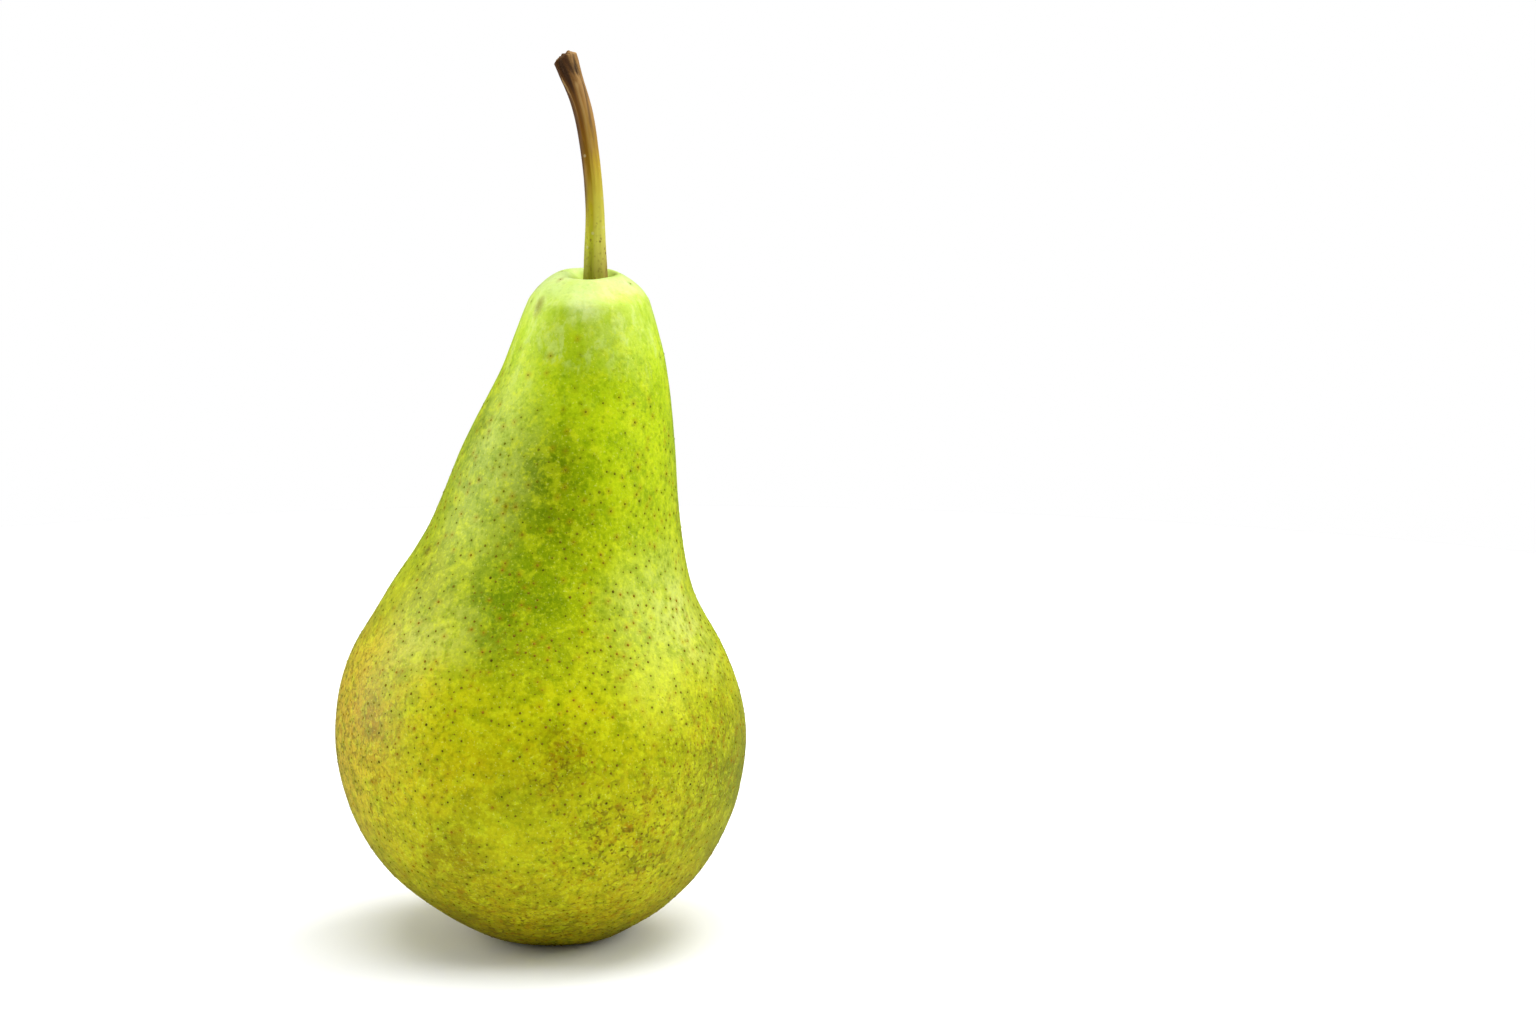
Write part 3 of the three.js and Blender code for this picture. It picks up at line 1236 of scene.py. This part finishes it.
@dataclass
class Skin:
    """The fruit's outer surface, from the calyx basin to the stem cavity."""

    form: PearForm
    finish: SkinFinish
    sectors: int = 352
    rings: int = 266
    broad_relief: float = 0.25 * MM
    middle_relief: float = 0.05 * MM
    fine_relief: float = 0.012 * MM
    reach: float = 0.75 * MM  # of the halo round a dot

    def build(self) -> bpy.types.Object:
        """Makes the bare skin.

        Returns:
            The bare skin.
        """
        line = chain("outline", self.form.outline(self.form.belly))
        middle = self.form.middle
        material = self.finish.material(self.form)
        values = {"middle_x": middle.x, "middle_y": middle.y, "material": material}
        return grow("pear_skin", line, self.tree(), self, **values)

    def dress(self, bare: bpy.types.Object, dots: bpy.types.Object) -> bpy.types.Object:
        """Marks the halos of the dots on the bare skin and puts it in the fruit's place.

        Args:
            bare: The skin without halos. It is removed.
            dots: The dots that stand on it.

        Returns:
            The finished skin.
        """
        skin = bare.material_slots[0].material
        piece = grow("pear_skin", bare, self.halo_tree(), self, dots=dots, material=skin)
        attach(piece, "root")
        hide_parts("fruit")
        return piece

    @staticmethod
    def halo_tree() -> FormGraph:
        """The tree that stores how near each point of the skin is to a dot, and that dot's tone.

        Returns:
            The tree.
        """
        graph = FormGraph("pear_halo_form", object="dots", float="reach")
        dots = graph.content("dots")
        near = graph.take("GeometryNodeProximity", "Distance", {0: dots}, target_element="POINTS")
        halo = graph.fade(near, 0.0, graph.given("reach"))
        tone = graph.take("GeometryNodeInputNamedAttribute", 0, {"Name": "tone"})
        index = graph.take("GeometryNodeSampleNearest", 0, {"Geometry": dots})
        feeds = {"Geometry": dots, "Value": tone, "Index": index}
        tone = graph.take("GeometryNodeSampleIndex", 0, feeds, data_type="FLOAT")
        marked = graph.store(graph.given("geometry"), "halo", halo)
        graph.finish(graph.store(marked, "tone", tone))
        return graph

    def tree(self) -> FormGraph:
        """The tree that turns the outline into the skin.

        Returns:
            The tree.
        """
        sizes = "middle_x middle_y broad_relief middle_relief fine_relief"
        graph = FormGraph("pear_skin_form", int="sectors rings", float=sizes)
        form = self.form
        sectors, rings = graph.given("sectors"), graph.given("rings")
        grid, radius, lean, height, angle = graph.swept(sectors, rings)
        low = (1 - height / (form.lobed_height * form.height)).clamped()
        out = radius * (
            1
            + ((angle - 1.2) * 2).cos() * form.oval
            + ((angle - 0.5) * 3).cos() * form.three_sided
            + ((angle - 0.3) * 5).cos() * low * form.five_lobed
        )
        crown = graph.ramp(height / form.height, 0.955, 0.99)
        fold = (angle * 5 + 1.0).cos() + (angle * 3 - 0.6).cos() * 0.6
        out = out * (1 + fold * crown * form.lip_folds)
        lift = angle.cos() * form.lip_tilt[0] + angle.sin() * form.lip_tilt[1]
        x = out * angle.cos() + lean * math.cos(form.lean_turn) + graph.given("middle_x")
        y = out * angle.sin() + lean * math.sin(form.lean_turn) + graph.given("middle_y")
        z = height + lift * radius * crown
        shell = graph.merged(graph.placed(grid, graph.join(x, y, z)), 0.01 * MM)
        graph.finish(graph.moved(shell, self.relief(graph)))
        return graph

    def relief(self, graph: FormGraph) -> Field:
        """How far each point of the skin stands off the rule's smooth surface.

        Args:
            graph: The skin's tree.

        Returns:
            The offset of each point.
        """
        place = graph.place()
        waves = (("broad_relief", 17 * MM), ("middle_relief", 4 * MM), ("fine_relief", 1.6 * MM))
        offsets = [
            (graph.noise(place, size, detail=0.0) - 0.5) * 2 * graph.given(label)
            for label, size in waves
        ]
        clear = graph.ramp(graph.split(place)[2], 0.3 * MM, 5 * MM)
        total = (offsets[0] + offsets[1] + offsets[2]) * clear
        return graph.vector("SCALE", graph.normal(), total)


@dataclass
class Dots:
    """The corky dots that stand out of the skin."""

    skin: bpy.types.Object
    finish: DotFinish
    height: float
    spacing: float = 1.1 * MM
    density: float = 0.62e6  # most dots in a square metre
    smallest: float = 0.12 * MM  # radius
    largest: float = 0.27 * MM
    flatness: float = 0.3
    seed: int = 7

    def build(self) -> bpy.types.Object:
        """Scatters the dots over the skin and puts them on the frame.

        Returns:
            The piece.
        """
        base = chain("dots", np.zeros((2, 3)))
        material = self.finish.material(self.height)
        piece = grow("pear_dots", base, self.tree(), self, material=material)
        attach(piece, "root")
        return piece

    def tree(self) -> FormGraph:
        """The tree that scatters the dots.

        Returns:
            The tree.
        """
        sizes = "spacing density smallest largest flatness"
        graph = FormGraph("pear_dots_form", object="skin", int="seed", float=sizes)
        skin = graph.content("skin")
        rise = graph.split(graph.place())[2] / self.height
        clouds = graph.ramp(graph.noise(graph.place(), 12 * MM), 0.35, 0.65)
        crown = graph.fade(rise, 0.66, 0.92)
        feeds = {
            "Mesh": skin,
            "Distance Min": graph.given("spacing"),
            "Density Max": graph.given("density"),
            "Density Factor": (clouds * 0.5 + 0.5) * (crown * 0.93 + 0.07),
            "Seed": graph.given("seed"),
        }
        kind = "GeometryNodeDistributePointsOnFaces"
        scatter = graph.add(kind, feeds, distribute_method="POISSON")
        bead = graph.take("GeometryNodeMeshIcoSphere", 0, {"Radius": 1.0, "Subdivisions": 1})
        share = graph.random(0.0, 1.0, 11) ** 1.9
        size = graph.given("smallest") + share * (graph.given("largest") - graph.given("smallest"))
        size = size * (0.75 + 0.25 * crown)
        points, rotation = scatter.outputs["Points"], scatter.outputs["Rotation"]
        scale = graph.join(size, size, size * graph.given("flatness"))
        beads = graph.copies(points, bead, rotation, scale)
        feeds = {"Geometry": beads, "Name": "tone", "Value": graph.random(0.0, 1.0, 23)}
        settings = {"data_type": "FLOAT", "domain": "INSTANCE"}
        graph.finish(graph.take("GeometryNodeStoreNamedAttribute", 0, feeds, **settings))
        return graph


@dataclass
class Stem:
    """The curved stem, swept along its line from a flared foot to a slanting, fibrous cut."""

    low: Vector
    high: Vector
    foot: Vector
    finish: StemFinish
    sectors: int = 72
    rings: int = 240
    radius: float = 1.4 * MM
    cut: float = math.radians(20)
    rounding: float = 300  # how steeply the cut falls off again on the right
    tear: float = 0.9  # how deep its end is split, in millimetres
    ridge: float = 4.84  # the angle round it at which a sharp ridge runs
    sunk: float = 0.3 * MM  # how far its foot reaches into the fruit
    swell: tuple[float, ...] = (1.46, 1.24, 1.09, 1.04, 1.03, 1.07, 1.13, 1.33)
    line: tuple = (
        (0, 0, 0),
        (0, 0.003, 0.164),
        (-0.001, 0.011, 0.356),
        (-0.021, 0.025, 0.576),
        (-0.058, 0.038, 0.781),
        (-0.131, 0.049, 0.993),
    )

    def build(self) -> bpy.types.Object:
        """Makes the stem and puts it on the frame in its CAD node's place.

        Returns:
            The piece.
        """
        height = self.high.z - self.low.z
        points = smooth_line(np.array(self.line) * height, 12) + np.array(self.foot)
        points[0, 2] -= self.sunk
        line = chain("stem_line", points)
        length = float(np.linalg.norm(np.diff(points, axis=0), axis=1).sum())
        side = [(share * self.radius, step / 7 * length) for step, share in enumerate(self.swell)]
        side = smooth_line(np.array(side), 8)
        tip = side[-1]
        end = [tip + tip[0] * np.array(at) for at in ((-0.12, 0.05), (-0.5, 0.12), (-1.0, 0.12))]
        outline = np.vstack([[(0, 0)], side, end])
        outline = np.column_stack([outline[:, 0], np.zeros(len(outline)), outline[:, 1]])
        base = chain("stem_outline", outline)
        values = {"line": line, "material": self.finish.material(length)}
        piece = grow("pear_stem", base, self.tree(length), self, **values)
        discard(line)
        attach(piece, "root")
        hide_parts("stem")
        return piece

    def tree(self, length: float) -> FormGraph:
        """The tree that bends the outline along the line, for a stem of a length.

        Args:
            length: The stem's length.

        Returns:
            The tree.
        """
        graph = FormGraph("pear_stem_form", object="line", int="sectors rings")
        sectors, rings = graph.given("sectors"), graph.given("rings")
        grid, radius, _, height, angle = graph.swept(sectors, rings)
        straight = graph.polar(radius, angle, height)
        line = graph.as_line(graph.content("line"))
        along = (height / length).clamped()
        rough = graph.noise(graph.vector("MULTIPLY", straight, (1.0, 1.0, 0.06)), 0.6 * MM, 2.0)
        split = graph.join(radius * (angle + along * 1.2).cos(), radius * angle.sin(), height * 0.1)
        groove = graph.noise(split, 0.95 * MM, detail=1.5, distortion=0.6)
        worn = graph.ramp(along, 0.78, 0.97)
        ridge = (angle - self.ridge - along * 0.1).cos().clamped() ** 30
        ridge = ridge * graph.ramp(along, 0.3, 0.5) * graph.fade(along, 0.85, 0.95)
        relief = (groove - 0.5) * (worn * 0.9 + 0.07) + ridge * 0.08
        out = radius * (1 + relief + (rough - 0.5) * 0.12)
        side = out * angle.cos()
        slope = side * math.tan(self.cut) - graph.math("MAXIMUM", side, 0) * side * self.rounding
        slope = slope * along**6
        torn = graph.noise(straight, 0.5 * MM, 2.0) - 0.5 + (groove - 0.5) * 1.5
        torn = torn * self.tear * MM * graph.ramp(along, 0.965, 1.0)
        tangent = graph.along(line, along, "Tangent")
        right = graph.vector("NORMALIZE", graph.vector("CROSS_PRODUCT", (0.0, 1.0, 0.0), tangent))
        back = graph.vector("CROSS_PRODUCT", tangent, right)
        place = graph.vector("ADD", graph.along(line, along), graph.vector("SCALE", right, side))
        place = graph.vector("ADD", place, graph.vector("SCALE", back, out * angle.sin()))
        beyond = height - along * length + slope + torn
        place = graph.vector("ADD", place, graph.vector("SCALE", tangent, beyond))
        marked = graph.store(grid, "straight", straight, "FLOAT_VECTOR")
        marked = graph.store(marked, "groove", groove + ridge * 0.15)
        graph.finish(graph.merged(graph.placed(marked, place)))
        return graph


@dataclass
class Calyx:
    """The dried remains of the flower in the basin: a cup, five sepals and ten stamens.

    Lengths are in metres. Low and high are the corners of the frame's calyx tube, whose open
    end faces down.
    """

    low: Vector
    high: Vector
    sectors: int = 64
    sepals: int = 5
    stamens: int = 10
    reach: float = 5.7 * MM  # from the middle to a sepal's tip
    root: float = 1.55 * MM  # where a sepal starts
    width: float = 3.0 * MM
    thickness: float = 0.3 * MM
    droop: float = 1.45 * MM
    turn: float = math.radians(14)
    cup: tuple = (
        (0.0, 4.2),
        (2.35, 4.1),
        (2.4, 3.55),
        (2.2, 3.0),
        (1.95, 2.5),
        (1.7, 2.3),
        (1.42, 2.45),
        (1.28, 2.9),
        (1.2, 3.4),
        (0.7, 3.62),
        (0.0, 3.66),
    )
    stub: tuple = (
        (0.0, 0.05),
        (0.14, 0.0),
        (0.12, -0.4),
        (0.1, -0.9),
        (0.13, -1.2),
        (0.26, -1.42),
        (0.31, -1.62),
        (0.25, -1.78),
        (0.12, -1.74),
        (0.06, -1.6),
        (0.0, -1.56),
    )

    rib: tuple = ((0, 0), (1, 0))

    @property
    def middle(self) -> Vector:
        """The middle of the tube, at the frame's zero height."""
        return Vector(((self.low.x + self.high.x) / 2, (self.low.y + self.high.y) / 2, 0))

    def build(self) -> list[bpy.types.Object]:
        """Makes the three pieces and puts them on the frame in their CAD nodes' places.

        Returns:
            The pieces.
        """
        husk = DriedFinish("pear_calyx", "1C120C", "463428", "6E4A3C", "948672", 0.55).material()
        tips = DriedFinish("pear_stamen", "1A110C", "3C2A20", "6E4A3A", "B8AC92", 0.3).material()
        tube = self.turned("pear_calyx_tube", self.cup, self.cup_tree(), husk)
        sepals = self.turned("pear_sepals", self.rib, self.sepal_tree(), husk)
        stamens = self.turned("pear_stamens", self.stub, self.stamen_tree(), tips)
        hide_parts("calyx_tube")
        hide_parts(*(f"sepal_{number + 1}" for number in range(self.sepals)))
        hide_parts(*(f"stamen_{number + 1}" for number in range(self.stamens)))
        for piece, slot in ((tube, "calyx"), (sepals, "calyx"), (stamens, "stamen")):
            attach(piece, "root")
        return [tube, sepals, stamens]

    def turned(
        self, name: str, stations: tuple, form: FormGraph, material: bpy.types.Material
    ) -> bpy.types.Object:
        """Makes a piece from an outline of [radius, height] stations.

        Args:
            name: The piece's name.
            stations: The outline in millimetres.
            form: The tree that the outline goes through.
            material: What the piece is made of.

        Returns:
            The piece.
        """
        line = smooth_line(np.array(stations, float), 6) * MM
        line = np.column_stack([np.maximum(line[:, 0], 0), 0 * line[:, 0], line[:, 1]])
        return grow(name, chain(name + "_outline", line), form, self, material=material)

    @staticmethod
    def crumpled(graph: FormGraph, geometry: Field, near: float, depth: float) -> Field:
        """Crumples dried tissue to a depth, with folds about as wide as near."""
        return graph.moved(geometry, graph.shake(graph.place(), near, depth, 2.0))

    def cup_tree(self) -> FormGraph:
        """The tree that turns the cup's outline into a crumpled cup.

        Returns:
            The tree.
        """
        graph = FormGraph("pear_cup_form", int="sectors")
        grid, radius, _, height, angle = graph.swept(graph.given("sectors"), 54, -math.tau)
        free = graph.fade(height, 2.4 * MM, 3.6 * MM)
        lobes = (angle * self.sepals - self.turn * self.sepals).cos()
        out = radius * (1 + lobes * free * 0.08)
        drop = lobes * free * 0.25 * MM
        place = graph.polar(out, angle, height - drop)
        place = graph.vector("ADD", place, tuple(self.middle))
        cup = graph.merged(graph.placed(grid, place))
        graph.finish(self.crumpled(graph, cup, 0.9 * MM, 0.16 * MM))
        return graph

    def sepal_tree(self) -> FormGraph:
        """The tree that makes one leaf, sets it round the tube and crumples each one.

        Returns:
            The tree.
        """
        sizes = "reach root width thickness"
        graph = FormGraph("pear_sepal_form", int="sepals", float=sizes)
        grid, across, up = graph.sheet(28, 40)
        angle = across * math.tau
        closed = ((1 - up) * up * 60).clamped() ** 0.5
        taper = (1 - up) ** 1.15 * 0.93 + (1 - up) ** 0.4 * 0.07
        half = graph.given("width") * 0.5 * taper * closed
        side = half * angle.cos()
        edge = angle.cos() * angle.cos()
        fold = (1 - up) * edge * 0.55 * MM
        thick = graph.given("thickness") * 0.5 * (1 - up * 0.55) * closed
        length = graph.given("root") + (graph.given("reach") - graph.given("root")) * up
        leaf = graph.join(length, side, thick * angle.sin() - fold)
        leaf = graph.merged(graph.placed(grid, leaf))
        points = graph.take("GeometryNodePoints", 0, {"Count": graph.given("sepals")})
        number = graph.take("GeometryNodeInputIndex", 0)
        arm = number * (math.tau / self.sepals) + self.turn + graph.random(-0.16, 0.16, 5)
        long = graph.random(0.86, 1.07, 9)
        scale = graph.join(long, graph.random(0.75, 1.1, 13), 1.0)
        star = graph.copies(points, leaf, graph.turned(0, 0, arm), scale)
        star = graph.take("GeometryNodeRealizeInstances", 0, {"Geometry": star})
        flat = graph.vector("MULTIPLY", graph.place(), (1.0, 1.0, 0.0))
        away = graph.length(flat) / self.reach
        curl = graph.noise(flat, 3.4 * MM, detail=0.0) - 0.5
        sink = 2.95 * MM - away**2.2 * self.droop + curl * away * 1.1 * MM
        swirl = graph.vector("CROSS_PRODUCT", flat, (0.0, 0.0, 1.0))
        bend = graph.noise(flat, 4.5 * MM, detail=0.0) - 0.5
        shift = graph.vector("SCALE", swirl, bend * away * away * 0.9)
        shift = graph.vector("ADD", shift, graph.join(self.middle.x, self.middle.y, sink))
        star = graph.moved(star, shift)
        star = self.crumpled(graph, star, 1.3 * MM, 0.28 * MM)
        graph.finish(self.crumpled(graph, star, 0.5 * MM, 0.1 * MM))
        return graph

    def stamen_tree(self) -> FormGraph:
        """The tree that makes one withered stamen and scatters copies of it in the tube.

        Returns:
            The tree.
        """
        graph = FormGraph("pear_stamen_form", int="stamens")
        grid, radius, _, height, angle = graph.swept(16, 40, -math.tau)
        lean = height * height * 110
        place = graph.join(radius * angle.cos() + lean, radius * angle.sin(), height)
        one = graph.placed(grid, place)
        head = graph.fade(height, -1.8 * MM, -1.3 * MM) * graph.ramp(radius, 0.1 * MM, 0.24 * MM)
        one = graph.merged(graph.store(one, "mark", head))
        number = graph.take("GeometryNodeInputIndex", 0)
        arm = number * (math.tau / self.stamens) + graph.random(-0.2, 0.2, 3)
        out = graph.random(0.35 * MM, 1.0 * MM, 21)
        spot = graph.vector("ADD", graph.polar(out, arm, 3.5 * MM), tuple(self.middle))
        feeds = {"Count": graph.given("stamens"), "Position": spot}
        points = graph.take("GeometryNodePoints", 0, feeds)
        tilt = graph.turned(0, graph.random(-0.45, 0.1, 31), arm)
        size = graph.random(0.8, 1.08, 41)
        tuft = graph.copies(points, one, tilt, graph.join(size, size, size))
        tuft = graph.take("GeometryNodeRealizeInstances", 0, {"Geometry": tuft})
        graph.finish(self.crumpled(graph, tuft, 0.7 * MM, 0.07 * MM))
        return graph


@dataclass(frozen=True)
class SoftBox:
    """A flat soft light that faces the pear."""

    name: str
    bearing: float  # degrees from +X towards +Y
    rise: float  # degrees above the floor
    distance: float
    width: float
    height: float
    radiance: float
    aim: float = 0.06  # the height that it faces

    def build(self) -> None:
        """Makes the light."""
        data = bpy.data.lights.new(self.name, "AREA")
        data.shape = "RECTANGLE"
        data.size = self.width
        data.size_y = self.height
        data.energy = self.radiance * math.pi * self.width * self.height
        light = bpy.data.objects.new(self.name, data)
        bearing = math.radians(self.bearing)
        rise = math.radians(self.rise)
        away = Vector((math.cos(bearing), math.sin(bearing), 0)) * math.cos(rise)
        away.z = math.sin(rise)
        light.rotation_euler = (-away).to_track_quat("-Z", "Y").to_euler()
        light.location = away * self.distance + Vector((0, 0, self.aim))
        bpy.context.scene.collection.objects.link(light)


@dataclass
class Studio:
    """A pale floor, soft lights and the camera."""

    look: tuple[float, float, float] = (0.0366, 0, 0.0691)
    distance: float = 0.6822
    elevation: float = math.radians(10)
    lens: float = 100.0
    boxes: tuple[SoftBox, ...] = (
        SoftBox("left_box", 172, 14, 0.95, 0.7, 0.9, 3.0),
        SoftBox("right_box", 0, 27, 0.95, 0.5, 0.45, 5.5),
        SoftBox("top_box", -90, 84, 0.95, 0.9, 0.9, 3.2),
        SoftBox("back_box", 38, 54, 0.95, 0.6, 0.45, 4.8),
    )
    floor_reach: float = 0.4
    floor_tone: tuple[float, float, float, float] = (0.96, 0.97, 1.0, 1)
    floor_mirrored: tuple[float, float, float, float] = (0.08, 0.08, 0.08, 1)
    surround: float = 0.65  # how bright it is behind the pear, for what it lights
    dim: float = 0.3  # how bright it is in front
    mirrored: float = 0.15  # the share of it that shows in reflections

    def build(self) -> None:
        """Makes everything that isn't the pear."""
        self.camera()
        self.floor()
        self.world()
        for box in self.boxes:
            box.build()
        bpy.context.scene.view_settings.view_transform = "Standard"

    def camera(self) -> None:
        """Makes the camera, which looks along +Y and down a little."""
        data = bpy.data.cameras.new("camera")
        data.lens = self.lens
        data.sensor_width = 36.0
        data.clip_start = 0.01
        data.clip_end = 20.0
        camera = bpy.data.objects.new("camera", data)
        back = Vector((0, -math.cos(self.elevation), math.sin(self.elevation)))
        camera.location = Vector(self.look) + back * self.distance
        camera.rotation_euler = (math.pi / 2 - self.elevation, 0, 0)
        bpy.context.scene.collection.objects.link(camera)
        bpy.context.scene.camera = camera

    def floor(self) -> None:
        """Makes the floor, just under the pear. It can be seen through from below."""
        mesh = bpy.data.meshes.new("floor")
        sectors = 96
        turns = [math.tau * sector / sectors for sector in range(sectors)]
        rim = [(self.floor_reach * math.cos(a), self.floor_reach * math.sin(a), 0) for a in turns]
        mesh.from_pydata(rim, [], [tuple(range(sectors))])
        floor = bpy.data.objects.new("floor", mesh)
        floor.location.z = -0.1 * MM
        graph = Surface("floor")
        rays = graph.add("ShaderNodeLightPath")
        glossy = rays.outputs["Is Glossy Ray"]
        graph.colour = graph.blend(glossy, self.floor_tone, self.floor_mirrored)
        material = graph.finish(roughness=0.9, specular=0.1)
        below = graph.take("ShaderNodeNewGeometry", "Backfacing")
        below = graph.math("MAXIMUM", below, rays.outputs["Transparent Depth"], clamp=True)
        clear = graph.add("ShaderNodeBsdfTransparent").outputs[0]
        feeds = {0: below, 1: graph.shader.outputs[0], 2: clear}
        surface = graph.take("ShaderNodeMixShader", 0, feeds)
        graph.feed(material.node_tree.nodes["Material Output"].inputs["Surface"], surface)
        mesh.materials.append(material)
        bpy.context.scene.collection.objects.link(floor)

    def world(self) -> None:
        """Makes the white surround, which lights the pear less from the front than from behind."""
        world = bpy.data.worlds.new("studio")
        world.use_nodes = True
        graph = Graph(world.node_tree)
        background = world.node_tree.nodes["Background"]
        direction = graph.take("ShaderNodeTexCoord", "Generated")
        behind = graph.ramp(graph.split(direction)[1], -0.3, 1.0)
        lit = behind * (self.surround - self.dim) + self.dim
        rays = graph.add("ShaderNodeLightPath")
        glossy = Field(graph, rays.outputs["Is Glossy Ray"])
        lit = lit * (1 - glossy * (1 - self.mirrored))
        seen = rays.outputs["Is Camera Ray"]
        graph.feed(background.inputs["Strength"], graph.math("MAXIMUM", lit, seen))
        background.inputs["Color"].default_value = (1, 1, 1, 1)
        bpy.context.scene.world = world


def main() -> None:
    """Builds the pear and its studio."""
    logging.basicConfig(level=logging.INFO, format="%(name)s: %(message)s")
    form = PearForm(*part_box("fruit"))
    skin = Skin(form, SkinFinish())
    bare = skin.build()
    dots = Dots(bare, DotFinish(), form.height).build()
    pieces = [dots, skin.dress(bare, dots)]
    foot = form.on_axis(form.flank[-1])
    pieces.append(Stem(*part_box("stem"), foot, StemFinish()).build())
    pieces += Calyx(*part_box("calyx_tube")).build()
    for piece in pieces:
        LOG.info("%s has %d faces", piece.name, len(piece.data.polygons))
    Studio().build()


if __name__ == "__main__":
    main()
